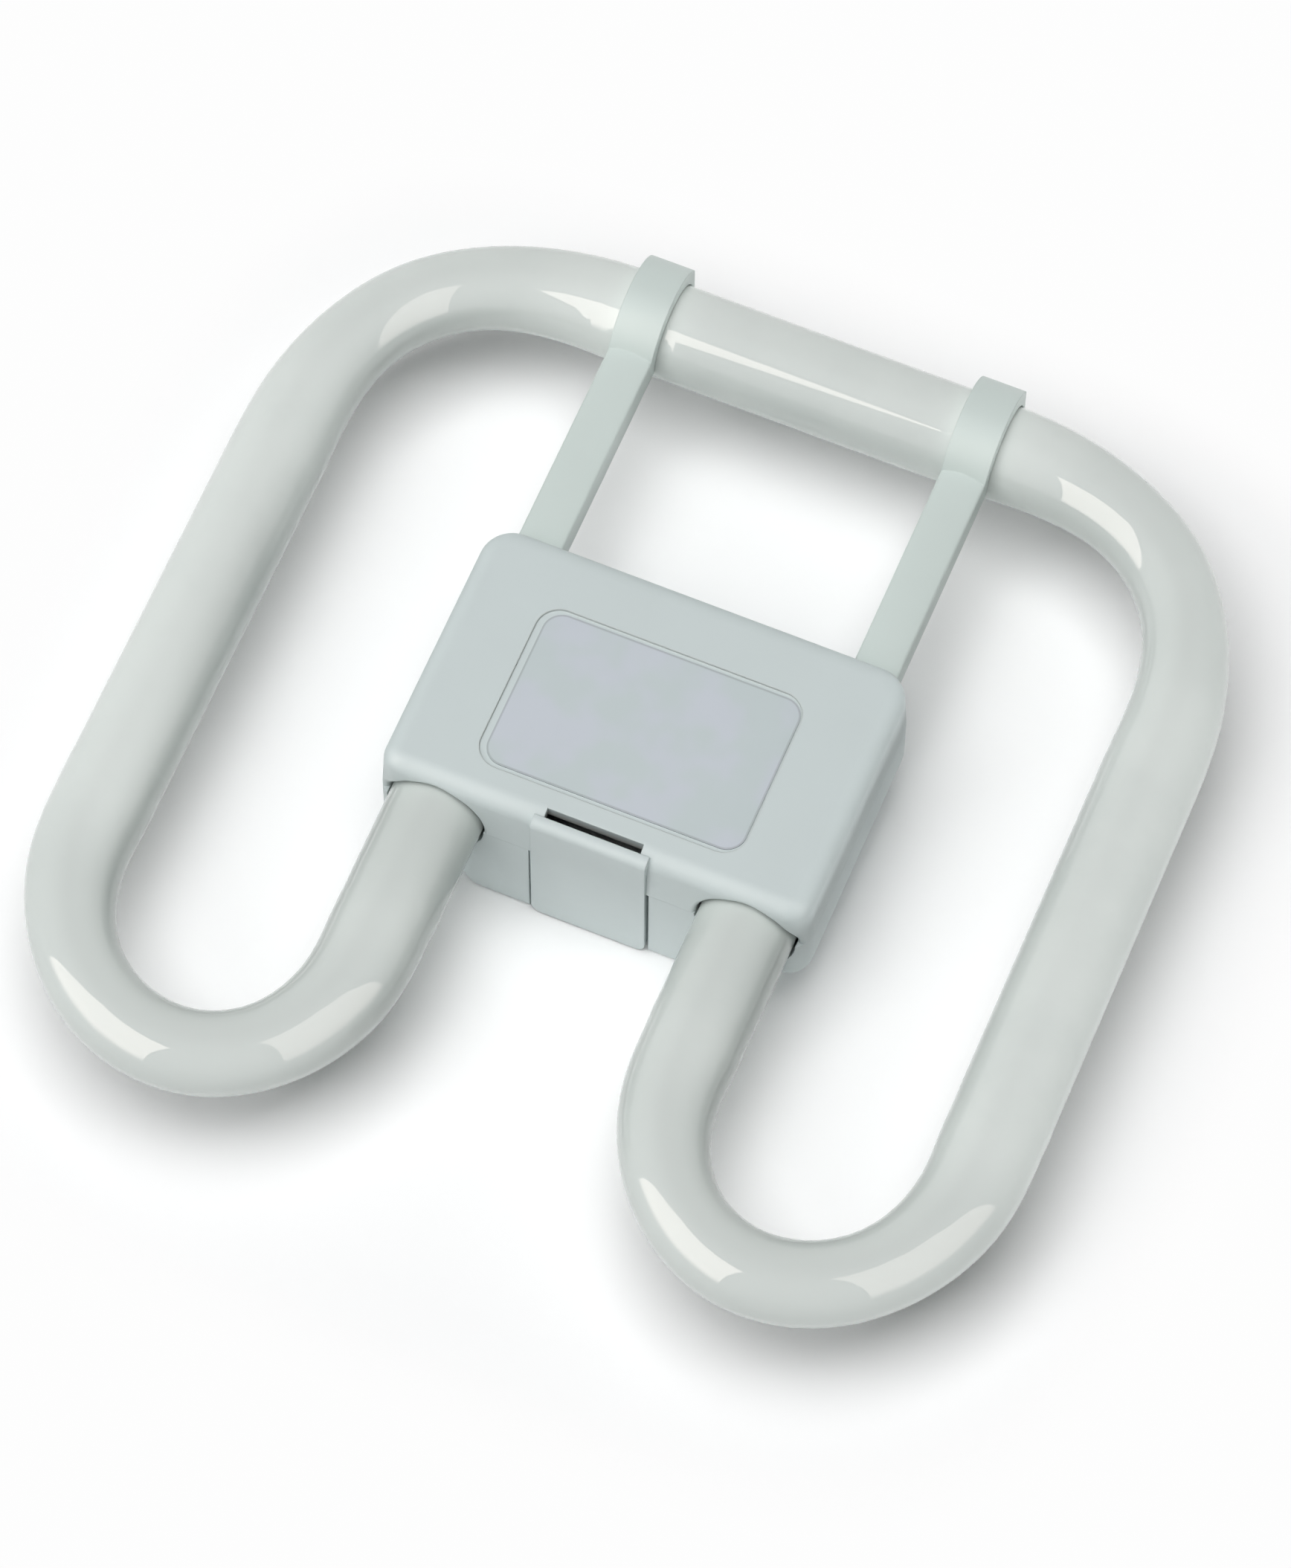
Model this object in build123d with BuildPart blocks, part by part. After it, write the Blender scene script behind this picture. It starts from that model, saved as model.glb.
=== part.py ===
"""Square compact fluorescent lamp: a bent opal tube carried by a moulded cap and two support arms.

The back of the cap's plug block lies on z = 0 and the lamp's front faces +z. The origin is midway
between the two contact pins. The top of the tube is at +y, and its limbs enter the cap from -y.
Left and right are as seen from the front. All sizes are in millimetres.
"""
import os

from build123d import *

# Bent tube, on its centre line
side_spacing = 127.4  # between the centre lines of the two sides
limb_inset = 8.7  # limb's centre line from the cap's side
tube_rise = 62.5  # from the origin up to the top centre line
tube_drop = 62.6  # from the origin down to the lowest centre line
axis_height = 17.6  # centre line above the back of the plug block
corner_radius = 29.9  # top corners
corner_ease = 4.5  # a corner starts to turn this much sooner than an arc would
inner_bend_radius = 19.5  # across the quarter bend next to each limb
bend_ease = 2.8  # the lower bends are this much deeper than they are wide
straight_radius = 6.8  # outside of the glass in the sides and the top
limb_radius = 6.75  # outside of the glass in the limbs
bend_radius = 5.72  # outside of the glass in the bends, which are drawn thinner
neck_length = 28.0  # along which a straight narrows to a bend
neck_start = 5.0  # part of that length in the straight
section_step = 5.0  # between the sections that shape a bend
limb_reach = 10.0  # limb's sealed end past the outside of the cap's lower wall
shoulder_radius = 3.5  # rounding of the sealed end
pinch_width = 8.5
pinch_thickness = 3.0
pinch_length = 4.5

# Cap
cap_width = 62.0
cap_rise = 22.2  # from the origin up to the cap's top wall
cap_drop = 18.0  # from the origin down to the cap's lower wall
cap_corner = 5.0  # at the arms
cap_foot_corner = 3.4  # at the limbs
cover_draft = 3.0  # degrees that the front cover's walls lean in towards the face
front_depth = 9.4  # front cover, from the tube's axis to the face
rear_depth = 9.0  # rear housing's tray, from the tube's axis back
front_edge = 2.6  # rounding round the face
back_edge = 1.6  # rounding round the tray's back
arch_edge = 0.6  # rounding of the cover's rim over each limb
wall = 1.8
limb_clearance = 0.35  # round the limbs where they enter the cap

# Label and its recess in the face
label_width = 37.0
label_height = 24.0
label_corner = 2.8
label_thickness = 0.2
label_margin = 0.6  # round a label that lies in the middle of the recess
label_shift = 0.4  # label's place to the right of the middle
recess_depth = 0.3

# Latch tongue at the cover's lower edge, and the slot behind it
tongue_width = 16.5
tongue_thickness = 1.7
tongue_proud = 0.4  # outside the cap's lower wall
tongue_setback = 0.3  # top of the tongue below the face
tongue_foot = 0.4  # end of the tongue above the back
tongue_corner = 1.6
tongue_edge = 1.3
tongue_gap = 0.4  # to the housing at each side
tongue_play = 0.25  # to the housing behind
slot_length = 13.8
slot_width = 1.3
catch_width = 8.0
catch_depth = 1.0
catch_height = 3.0
catch_level = 8.0  # holding face above the back
catch_play = 0.2

# Locating lips inside the cover's side walls
lip_length = 14.0
lip_thickness = 1.2
lip_drop = 2.0
lip_root = 3.0
lip_play = 0.2

# Plug block at the back of the housing, and the pocket for the pins
block_width = 40.0
block_rise = 18.0  # from the origin up to the block's top wall
block_corner = 4.0
block_edge = 1.0
pocket_width = 24.0
pocket_height = 17.0
pocket_depth = 9.0
pocket_corner = 2.0
pocket_mouth = 0.6

# Contact pins
pin_spacing = 8.0
pin_diameter = 2.35
pin_setback = 1.2  # tip inside the block's back
pin_dome = 1.0
pin_shank_diameter = 3.0  # where it passes the roof of the pocket
pin_flange_diameter = 4.4
pin_flange_thickness = 0.8
pin_tail = 2.0
pin_fit = 0.05

# Support arms
arm_inset = 6.5  # arm's middle from the cap's side
arm_width = 6.4
arm_depth = 4.7
arm_crown = 0.6  # height of the rounded front over its edges
arm_edge = 0.5
arm_reach = 12.0  # arm's length inside the cap
arm_fit = 0.15
strap_thickness = 2.0
clip_gap = 0.15  # between strap and glass
hook_drop = 1.6  # end of the hook behind the tube's axis
hook_corner = 1.0  # outer rounding of that end
hook_round = 1.7  # rounding of the clip's far corners, seen from the front
peg_diameter = 4.0
peg_length = 4.5
peg_fit = 0.1
peg_inset = 4.0  # peg's axis from the arm's inner end
post_wall = 1.8
rib_thickness = 1.6
rib_gap = 0.1

# Glow starter and its capacitor
starter_diameter = 7.0
starter_length = 15.0
starter_offset = 5.7  # axis from the line of the pins
starter_gap = 0.4  # over the roof of the pocket
starter_round = 2.5
cradle_spacing = 8.0
cradle_thickness = 1.5
cradle_width = 5.0
cradle_height = 2.4
cradle_fit = 0.1
capacitor_width = 9.0
capacitor_thickness = 4.4
capacitor_height = 6.5
capacitor_offset = 5.6  # middle from the line of the pins
capacitor_round = 1.0
leg_diameter = 0.6
leg_spread = 10.5  # legs from the middle of the lamp
leg_rise = 1.6  # legs over the roof of the pocket
leg_bend = 0.8

# Wires and seats
lead_diameter = 1.0
lead_spacing = 2.4  # between the two wires of one end
lead_bend = 2.0
seat_length = 4.5
seat_width = 8.4
seat_height = 4.0
seat_inset = 0.8  # from the inside of the lower wall
seat_gap = 0.05

# Places worked out from the sizes above
side_x = side_spacing / 2
limb_x = cap_width / 2 - limb_inset
arm_x = cap_width / 2 - arm_inset
pin_x = pin_spacing / 2
outer_bend_radius = side_x - limb_x - inner_bend_radius
cap_height = cap_rise + cap_drop
cap_middle = (cap_rise - cap_drop) / 2
block_height = block_rise + cap_drop
block_middle = (block_rise - cap_drop) / 2
face_z = axis_height + front_depth
tray_z = axis_height - rear_depth
floor_z = tray_z + wall
roof_z = pocket_depth + wall
limb_end = limb_reach - cap_drop
limb_bore = limb_radius + limb_clearance
tongue_out = cap_drop + tongue_proud
tongue_in = tongue_out - tongue_thickness
tongue_height = face_z - tongue_setback - tongue_foot
channel_in = tongue_in - tongue_play
channel_width = tongue_width + 2 * tongue_gap
lip_x = cap_width / 2 - wall
clip_radius = straight_radius + clip_gap
clip_outer = clip_radius + strap_thickness
arm_inner = cap_rise - arm_reach
peg_y = arm_inner + peg_inset
post_radius = peg_diameter / 2 + peg_fit + post_wall
rib_height = front_depth - wall - arm_depth - rib_gap
pin_top = roof_z + pin_flange_thickness + pin_tail
starter_z = roof_z + starter_gap + starter_diameter / 2
on_floor = (Align.CENTER, Align.CENTER, Align.MIN)

os.makedirs("parts", exist_ok=True)


def drawn_radius(from_start, from_end, start_radius, end_radius):
    """Give the tube's radius in a bend, from the distances to the straights at its two ends."""
    wide_radius = start_radius if from_start < from_end else end_radius
    share = (min(from_start, from_end) + neck_start) / neck_length
    share = min(max(share, 0), 1)
    return wide_radius + share * share * (3 - 2 * share) * (bend_radius - wide_radius)


# Discharge tube: one half is made of straight runs and shaped bends, then mirrored
straight_lead = neck_start + section_step
bend_x = limb_x + inner_bend_radius
inner_depth = inner_bend_radius + bend_ease
outer_depth = outer_bend_radius + bend_ease
corner_reach = corner_radius + corner_ease
corner_cut = corner_radius * (1 - 0.5**0.5)
limb_foot = inner_depth - tube_drop + straight_lead
side_foot = outer_depth - tube_drop + straight_lead
side_head = tube_rise - corner_reach - straight_lead
top_end = side_x - corner_reach - straight_lead

with BuildLine() as lower_bend:
    Line((limb_x, limb_foot), (limb_x, inner_depth - tube_drop))
    EllipticalCenterArc(
        (bend_x, inner_depth - tube_drop), inner_bend_radius, inner_depth, start_angle=180, arc_size=90
    )
    EllipticalCenterArc(
        (bend_x, outer_depth - tube_drop), outer_bend_radius, outer_depth, start_angle=270, arc_size=90
    )
    Line((side_x, outer_depth - tube_drop), (side_x, side_foot))
with BuildLine() as top_corner:
    Line((side_x, side_head), (side_x, tube_rise - corner_reach))
    Spline(
        (side_x, tube_rise - corner_reach),
        (side_x - corner_cut, tube_rise - corner_cut),
        (side_x - corner_reach, tube_rise),
        tangents=[(0, 1), (-1, 0)],
    )
    Line((side_x - corner_reach, tube_rise), (top_end, tube_rise))

with BuildPart() as discharge_tube:
    for run, start_radius, end_radius in (
        (lower_bend.wire(), limb_radius, straight_radius),
        (top_corner.wire(), straight_radius, straight_radius),
    ):
        steps = round(run.length / section_step)
        for step in range(steps + 1):
            along = step * run.length / steps
            left_over = run.length - along
            radius = drawn_radius(
                along - straight_lead, left_over - straight_lead, start_radius, end_radius
            )
            middle = (run @ (step / steps)) + (0, 0, axis_height)
            with BuildSketch(Plane(middle, x_dir=(0, 0, -1), z_dir=run % (step / steps))):
                Circle(radius)
        loft()
    with BuildSketch(Plane.XZ.offset(-side_foot)):
        with Locations((side_x, axis_height)):
            Circle(straight_radius)
    extrude(amount=side_foot - side_head)
    with BuildSketch(Plane.YZ):
        with Locations((tube_rise, axis_height)):
            Circle(straight_radius)
    extrude(amount=top_end)
    with BuildSketch(Plane(origin=(limb_x, limb_foot, axis_height), x_dir=(0, 1, 0), z_dir=(0, 0, 1))) as limb:
        Rectangle(limb_end - limb_foot, limb_radius, align=(Align.MIN, Align.MIN))
        fillet(limb.vertices().group_by(Axis.X)[-1].sort_by(Axis.Y)[-1], shoulder_radius)
    revolve(axis=Axis((limb_x, limb_foot, axis_height), (0, 1, 0)))
    with BuildSketch(Plane(origin=(limb_x, limb_end, axis_height), x_dir=(1, 0, 0), z_dir=(0, 1, 0))):
        RectangleRounded(pinch_width, pinch_thickness, pinch_thickness / 3)
    extrude(amount=pinch_length)
    mirror(about=Plane.YZ)
discharge_tube.part.label = "discharge_tube"
export_step(discharge_tube.part, "parts/discharge_tube.step")


def cap_outline(inset):
    """Give the cap's outline, moved in from its outside."""
    with BuildSketch() as outline:
        with Locations((0, cap_middle)):
            Rectangle(cap_width - 2 * inset, cap_height - 2 * inset)
        fillet(outline.vertices().group_by(Axis.Y)[-1], cap_corner - inset)
        fillet(outline.vertices().group_by(Axis.Y)[0], cap_foot_corner - inset)
    return outline.sketch


def is_arch_rim(edge):
    """Tell whether an edge is on the outside of the lower wall, round a limb."""
    middle = edge @ 0.5
    from_axis = ((abs(middle.X) - limb_x) ** 2 + (middle.Z - axis_height) ** 2) ** 0.5
    outside = middle.Y < wall / 2 - cap_drop and middle.Z > axis_height + limb_clearance
    return outside and abs(from_axis - limb_bore) < limb_clearance / 10


cap_plan = cap_outline(0)
cavity_plan = cap_outline(wall)

# Front cover: a shallow box open to the back, with arches for the limbs and the latch tongue
with BuildPart() as front_cover:
    with BuildSketch(Plane.XY.offset(axis_height)):
        add(cap_plan)
    extrude(amount=front_depth, taper=cover_draft)
    fillet(front_cover.faces().sort_by(Axis.Z)[-1].edges(), front_edge)
    with BuildSketch(Plane.XY.offset(axis_height)):
        add(cavity_plan)
    extrude(amount=front_depth - wall, mode=Mode.SUBTRACT)
    with BuildSketch(Plane.XY.offset(face_z)):
        RectangleRounded(
            label_width + 2 * label_margin,
            label_height + 2 * label_margin,
            label_corner + label_margin,
        )
    extrude(amount=-recess_depth, mode=Mode.SUBTRACT)
    # Tongue, and the slot that lets it flex
    with BuildSketch(Plane.XZ.offset(tongue_out)) as tongue:
        with Locations((0, tongue_foot)):
            Rectangle(tongue_width, tongue_height, align=(Align.CENTER, Align.MIN))
        fillet(tongue.vertices().group_by(Axis.Y)[0], tongue_corner)
    extrude(amount=-tongue_thickness)
    fillet(front_cover.edges().filter_by(Axis.X).group_by(Axis.Y)[0].sort_by(Axis.Z)[-1], tongue_edge)
    with Locations((0, slot_width / 2 - tongue_in, axis_height)):
        Box(slot_length, slot_width, 2 * front_depth, align=on_floor, mode=Mode.SUBTRACT)
    # Catch on the inside of the tongue, flat on top and sloping away below
    with BuildSketch(Plane.YZ.offset(-catch_width / 2)):
        with BuildLine():
            Polyline(
                (-tongue_in, catch_level),
                (catch_depth - tongue_in, catch_level),
                (-tongue_in, catch_level - catch_height),
                close=True,
            )
        make_face()
    extrude(amount=catch_width)
    # Arches over the limbs
    with BuildSketch(Plane.XZ.offset(cap_drop + wall)):
        with Locations((-limb_x, axis_height), (limb_x, axis_height)):
            Circle(limb_bore)
    extrude(amount=-(limb_reach + 2 * wall), mode=Mode.SUBTRACT)
    fillet(front_cover.edges().filter_by(is_arch_rim), arch_edge)
    # Notches in the top wall for the arms, and the ribs that hold the arms down
    with Locations((-arm_x, cap_rise, axis_height), (arm_x, cap_rise, axis_height)):
        Box(arm_width + 2 * arm_fit, 3 * wall, 2 * (arm_depth + arm_fit), mode=Mode.SUBTRACT)
    rib_z = face_z - wall - rib_height
    with Locations((-arm_x, peg_y, rib_z), (arm_x, peg_y, rib_z)):
        Box(arm_width, rib_thickness, rib_height, align=on_floor)
    # Lips that locate the cover inside the housing's side walls
    for side in (-1, 1):
        with Locations((side * (lip_x - lip_play - lip_thickness / 2), cap_middle, axis_height - lip_drop)):
            Box(lip_thickness, lip_length, lip_drop + lip_root, align=on_floor)
        with Locations((side * lip_x, cap_middle, axis_height)):
            Box(lip_thickness, lip_length, lip_root, align=on_floor)
front_cover.part.label = "front_cover"
export_step(front_cover.part, "parts/front_cover.step")

# Rating label in its recess
with BuildPart() as rating_label:
    with BuildSketch(Plane.XY.offset(face_z - recess_depth)):
        with Locations((label_shift, 0)):
            RectangleRounded(label_width, label_height, label_corner)
    extrude(amount=label_thickness)
rating_label.part.label = "rating_label"
export_step(rating_label.part, "parts/rating_label.step")

# Rear housing: a tray with a hollow plug block behind it
with BuildPart() as rear_housing:
    with BuildSketch(Plane.XY.offset(axis_height)):
        add(cap_plan)
    extrude(amount=-rear_depth)
    fillet(rear_housing.faces().sort_by(Axis.Z)[0].edges(), back_edge)
    with BuildSketch():
        with Locations((0, block_middle)):
            RectangleRounded(block_width, block_height, block_corner)
    extrude(amount=floor_z)
    fillet(rear_housing.faces().sort_by(Axis.Z)[0].edges(), block_edge)
    with BuildSketch(Plane.XY.offset(floor_z)):
        add(cavity_plan)
    extrude(amount=rear_depth, mode=Mode.SUBTRACT)
    with BuildSketch(Plane.XY.offset(wall)):
        with Locations((0, block_middle)):
            RectangleRounded(block_width - 2 * wall, block_height - 2 * wall, block_corner - wall)
    extrude(amount=axis_height, mode=Mode.SUBTRACT)
    # Pocket for the pins, open to the back
    with BuildSketch():
        RectangleRounded(pocket_width + 2 * wall, pocket_height + 2 * wall, pocket_corner + wall)
    extrude(amount=roof_z)
    with BuildSketch():
        RectangleRounded(pocket_width, pocket_height, pocket_corner)
    extrude(amount=pocket_depth, mode=Mode.SUBTRACT)
    chamfer(rear_housing.faces().sort_by(Axis.Z)[0].inner_wires()[0].edges(), pocket_mouth)
    with Locations((-pin_x, 0, roof_z), (pin_x, 0, roof_z)):
        Cylinder(pin_shank_diameter / 2 + pin_fit, 3 * wall, mode=Mode.SUBTRACT)
    # Channel for the latch tongue, with the window that its catch snaps into
    with Locations((0, wall - channel_in, wall / 2)):
        Box(
            channel_width + 2 * wall,
            tongue_thickness + wall / 2,
            axis_height - wall / 2,
            align=(Align.CENTER, Align.MAX, Align.MIN),
        )
    with Locations((0, -channel_in, 0)):
        Box(
            channel_width,
            3 * tongue_thickness,
            3 * axis_height,
            align=(Align.CENTER, Align.MAX, Align.CENTER),
            mode=Mode.SUBTRACT,
        )
    with Locations((0, -channel_in, catch_level - catch_height - catch_play)):
        Box(
            catch_width + 2 * catch_play,
            3 * wall,
            catch_height + 2 * catch_play,
            align=on_floor,
            mode=Mode.SUBTRACT,
        )
    # Saddles for the limbs
    with BuildSketch(Plane.XZ.offset(cap_drop + wall)):
        with Locations((-limb_x, axis_height), (limb_x, axis_height)):
            Circle(limb_bore)
    extrude(amount=-(limb_reach + 2 * wall), mode=Mode.SUBTRACT)
    # Posts that the support arms stand on, bored for their pegs
    with Locations((-arm_x, peg_y, floor_z), (arm_x, peg_y, floor_z)):
        Cylinder(post_radius, axis_height - floor_z, align=on_floor)
    with Locations((-arm_x, peg_y, axis_height), (arm_x, peg_y, axis_height)):
        Cylinder(peg_diameter / 2 + peg_fit, 2 * (peg_length + peg_fit), mode=Mode.SUBTRACT)
    # Cradle under the glow starter
    for side in (-1, 1):
        with Locations((side * cradle_spacing / 2, starter_offset, roof_z)):
            Box(cradle_thickness, cradle_width, cradle_height, align=on_floor)
    with Locations((0, starter_offset, starter_z)):
        Cylinder(
            starter_diameter / 2 + cradle_fit,
            starter_length,
            rotation=(0, 90, 0),
            mode=Mode.SUBTRACT,
        )
rear_housing.part.label = "rear_housing"
export_step(rear_housing.part, "parts/rear_housing.step")

# Glow starter: a small sealed bottle lying across the lamp
with BuildPart() as starter_bottle:
    with BuildSketch(Plane(origin=(0, starter_offset, starter_z))) as bottle:
        Rectangle(starter_length, starter_diameter / 2, align=(Align.CENTER, Align.MIN))
        fillet(bottle.vertices().group_by(Axis.Y)[-1], starter_round)
    revolve(axis=Axis((0, starter_offset, starter_z), (1, 0, 0)))
starter_bottle.part.label = "starter_bottle"
export_step(starter_bottle.part, "parts/starter_bottle.step")

# Capacitor across the starter, standing on the roof of the pocket
leg_z = roof_z + leg_rise
with BuildPart() as starter_capacitor:
    with Locations((0, -capacitor_offset, roof_z)):
        Box(capacitor_width, capacitor_thickness, capacitor_height, align=on_floor)
    fillet(starter_capacitor.edges().filter_by(Axis.Z), capacitor_round)
    fillet(starter_capacitor.faces().sort_by(Axis.Z)[-1].edges(), capacitor_round / 2)
    for side in (-1, 1):
        with BuildLine() as leg:
            FilletPolyline(
                (side * (capacitor_width / 2 - capacitor_round), -capacitor_offset, leg_z),
                (side * leg_spread, -capacitor_offset, leg_z),
                (side * leg_spread, starter_offset, leg_z),
                (side * leg_spread, starter_offset, starter_z - lead_diameter / 2),
                radius=leg_bend,
            )
        with BuildSketch(Plane(origin=leg.line @ 0, z_dir=leg.line % 0)):
            Circle(leg_diameter / 2)
        sweep(path=leg.line)
starter_capacitor.part.label = "starter_capacitor"
export_step(starter_capacitor.part, "parts/starter_capacitor.step")

# Support arms: a bar with a rounded front, a peg in the cap and a clip round the tube's top run
for side, hand in ((-1, "left"), (1, "right")):
    bar_left = side * arm_x - arm_width / 2
    bar_right = side * arm_x + arm_width / 2
    bar_edge = axis_height + arm_depth - arm_crown
    with BuildPart() as support_arm:
        # Clip over the tube, with its free end hooked behind the tube's axis
        with BuildSketch(Plane.YZ.offset(bar_left)) as clip:
            with Locations((tube_rise, axis_height)):
                Circle(clip_outer)
                Rectangle(
                    4 * clip_outer,
                    2 * clip_outer,
                    align=(Align.CENTER, Align.MAX),
                    mode=Mode.SUBTRACT,
                )
            with Locations((tube_rise + clip_outer, axis_height)):
                Rectangle(clip_outer, hook_drop, align=(Align.MAX, Align.MAX))
            fillet(clip.vertices().group_by(Axis.Y)[0].sort_by(Axis.X)[-1], hook_corner)
        extrude(amount=arm_width)
        with BuildSketch() as plan:
            with Locations((side * arm_x, tube_rise + clip_outer)):
                Rectangle(arm_width, 3 * clip_outer, align=(Align.CENTER, Align.MAX))
            fillet(plan.vertices().group_by(Axis.Y)[-1], hook_round)
        extrude(amount=2 * axis_height, mode=Mode.INTERSECT)
        # Bar from the cap to the clip
        with BuildSketch(Plane.XZ.offset(-arm_inner)) as bar:
            with BuildLine():
                Polyline(
                    (bar_left, bar_edge),
                    (bar_left, axis_height),
                    (bar_right, axis_height),
                    (bar_right, bar_edge),
                )
                ThreePointArc(
                    (bar_left, bar_edge),
                    (side * arm_x, axis_height + arm_depth),
                    (bar_right, bar_edge),
                )
            make_face()
            fillet(bar.vertices().group_by(Axis.Y)[-1], arm_edge)
        extrude(amount=arm_inner - tube_rise)
        with BuildSketch(Plane.YZ.offset(bar_left - arm_width)):
            with Locations((tube_rise, axis_height)):
                Circle(clip_radius)
        extrude(amount=3 * arm_width, mode=Mode.SUBTRACT)
        with Locations((side * arm_x, tube_rise, axis_height)):
            Box(
                3 * arm_width,
                2 * clip_radius,
                2 * hook_drop,
                align=(Align.CENTER, Align.CENTER, Align.MAX),
                mode=Mode.SUBTRACT,
            )
        with BuildSketch(Plane.XY.offset(axis_height)):
            with Locations((side * arm_x, peg_y)):
                Circle(peg_diameter / 2)
        extrude(amount=-peg_length)
    support_arm.part.label = f"{hand}_support_arm"
    export_step(support_arm.part, f"parts/{hand}_support_arm.step")

# Contact pins: a domed pin through the roof of the pocket, with a flange and a tail above it
for side, hand in ((-1, "left"), (1, "right")):
    with BuildPart() as contact_pin:
        with Locations((side * pin_x, 0, pin_setback)):
            Cylinder(pin_diameter / 2, pin_top - pin_setback, align=on_floor)
        fillet(contact_pin.edges().sort_by(Axis.Z)[0], pin_dome)
        with Locations((side * pin_x, 0, pocket_depth)):
            Cylinder(pin_shank_diameter / 2, wall, align=on_floor)
        with Locations((side * pin_x, 0, roof_z)):
            Cylinder(pin_flange_diameter / 2, pin_flange_thickness, align=on_floor)
    contact_pin.part.label = f"{hand}_contact_pin"
    export_step(contact_pin.part, f"parts/{hand}_contact_pin.step")

# Wires from each pinched end: one to the contact pin, the other to the glow starter
pinch_y = limb_end + pinch_length
for side, hand in ((-1, "left"), (1, "right")):
    inner_x = side * (limb_x - lead_spacing / 2)
    outer_x = side * (limb_x + lead_spacing / 2)
    with BuildPart() as pin_lead:
        with BuildLine() as route:
            FilletPolyline(
                (inner_x, pinch_y, axis_height),
                (inner_x, 0, axis_height),
                (side * pin_x, 0, axis_height),
                (side * pin_x, 0, pin_top),
                radius=lead_bend,
            )
        with BuildSketch(Plane(origin=route.line @ 0, z_dir=route.line % 0)):
            Circle(lead_diameter / 2)
        sweep(path=route.line)
    pin_lead.part.label = f"{hand}_pin_lead"
    export_step(pin_lead.part, f"parts/{hand}_pin_lead.step")

    with BuildPart() as starter_lead:
        with BuildLine() as route:
            FilletPolyline(
                (outer_x, pinch_y, axis_height),
                (outer_x, pinch_y + lead_bend, axis_height),
                (outer_x, starter_offset, starter_z),
                (side * starter_length / 2, starter_offset, starter_z),
                radius=lead_bend,
            )
        with BuildSketch(Plane(origin=route.line @ 0, z_dir=route.line % 0)):
            Circle(lead_diameter / 2)
        sweep(path=route.line)
    starter_lead.part.label = f"{hand}_starter_lead"
    export_step(starter_lead.part, f"parts/{hand}_starter_lead.step")

# Soft seats between the limbs and the housing's floor
for side, hand in ((-1, "left"), (1, "right")):
    with BuildPart() as tube_seat:
        with Locations((side * limb_x, wall + seat_inset - cap_drop, floor_z)):
            Box(seat_width, seat_length, seat_height, align=(Align.CENTER, Align.MIN, Align.MIN))
        with BuildSketch(Plane.XZ.offset(cap_drop)):
            with Locations((side * limb_x, axis_height)):
                Circle(limb_radius + seat_gap)
        extrude(amount=-(limb_reach + cap_drop), mode=Mode.SUBTRACT)
    tube_seat.part.label = f"{hand}_tube_seat"
    export_step(tube_seat.part, f"parts/{hand}_tube_seat.step")
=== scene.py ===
"""Dresses the square compact fluorescent lamp and sets it on a white table under soft light.

Laid out as an add-on: property groups hold what a user would change, one operator finishes each
piece or group of like pieces, one more builds the stage, and a panel lists them all.
"""
from math import cos, radians, sin
from typing import NamedTuple

import bpy
from bpy.props import FloatProperty, FloatVectorProperty, PointerProperty
from mathutils import Matrix, Vector


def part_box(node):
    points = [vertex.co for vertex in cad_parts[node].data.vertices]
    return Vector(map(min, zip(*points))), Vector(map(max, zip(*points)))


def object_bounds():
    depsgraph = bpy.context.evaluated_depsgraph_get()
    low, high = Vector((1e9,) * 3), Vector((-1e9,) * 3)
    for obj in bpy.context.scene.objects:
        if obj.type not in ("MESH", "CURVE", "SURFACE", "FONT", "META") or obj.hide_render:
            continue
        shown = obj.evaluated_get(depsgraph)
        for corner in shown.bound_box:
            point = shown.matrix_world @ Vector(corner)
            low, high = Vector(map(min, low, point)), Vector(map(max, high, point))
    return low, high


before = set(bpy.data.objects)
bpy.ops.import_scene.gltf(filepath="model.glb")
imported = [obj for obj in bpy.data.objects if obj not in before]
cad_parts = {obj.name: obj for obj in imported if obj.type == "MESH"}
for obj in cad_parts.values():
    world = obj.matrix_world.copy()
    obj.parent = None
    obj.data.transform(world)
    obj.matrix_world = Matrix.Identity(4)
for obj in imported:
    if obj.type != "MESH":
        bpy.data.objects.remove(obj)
cad_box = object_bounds()

bl_info = {
    "name": "Square Lamp Finish",
    "version": (1, 0, 0),
    "blender": (4, 5, 0),
    "location": "3D View > Sidebar > Lamp",
    "description": "Gives the square compact fluorescent lamp its finishes and its table",
    "category": "Material",
}

HANDS = ("left", "right")
NODE_STEP = 220
WHITE = (1.0, 1.0, 1.0, 1.0)

# Bends of the tube, in metres from the lamp's middle, each pair from straight glass to bent glass
FRONT_BEND_Y = (-0.034, -0.048)
CORNER_X = (0.032, 0.044)
CORNER_Y = (0.030, 0.044)
CORNER_SHARE = 0.5

# Used ends of the tube, in metres from the sides of the front cover
END_REACH = 0.030
END_OVERLAP = 0.002
END_SIDE_BLUR = 0.004
END_BACK_BLUR = 0.010

# Latch slot in the front cover, in metres, and how much painted shade darkens it towards its bottom
SLOT_HALF = 0.0069
SLOT_FRONT = -0.0167
SLOT_BACK = -0.0154
SLOT_SIDE_BLUR = 0.0002
SLOT_END_BLUR = 0.0001
SLOT_LIT_DEPTH = 0.0004
SLOT_DARK_DEPTH = 0.0024
SLOT_SHADE = 0.7

# Parts of a noise's values that turn one tone or roughness into another
NOISE_RANGE = (0.3, 0.7)
CLOUD_RANGE = (0.35, 0.7)
FADE_RANGE = (0.4, 0.62)
STREAK_RANGE = (0.35, 0.75)

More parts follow.
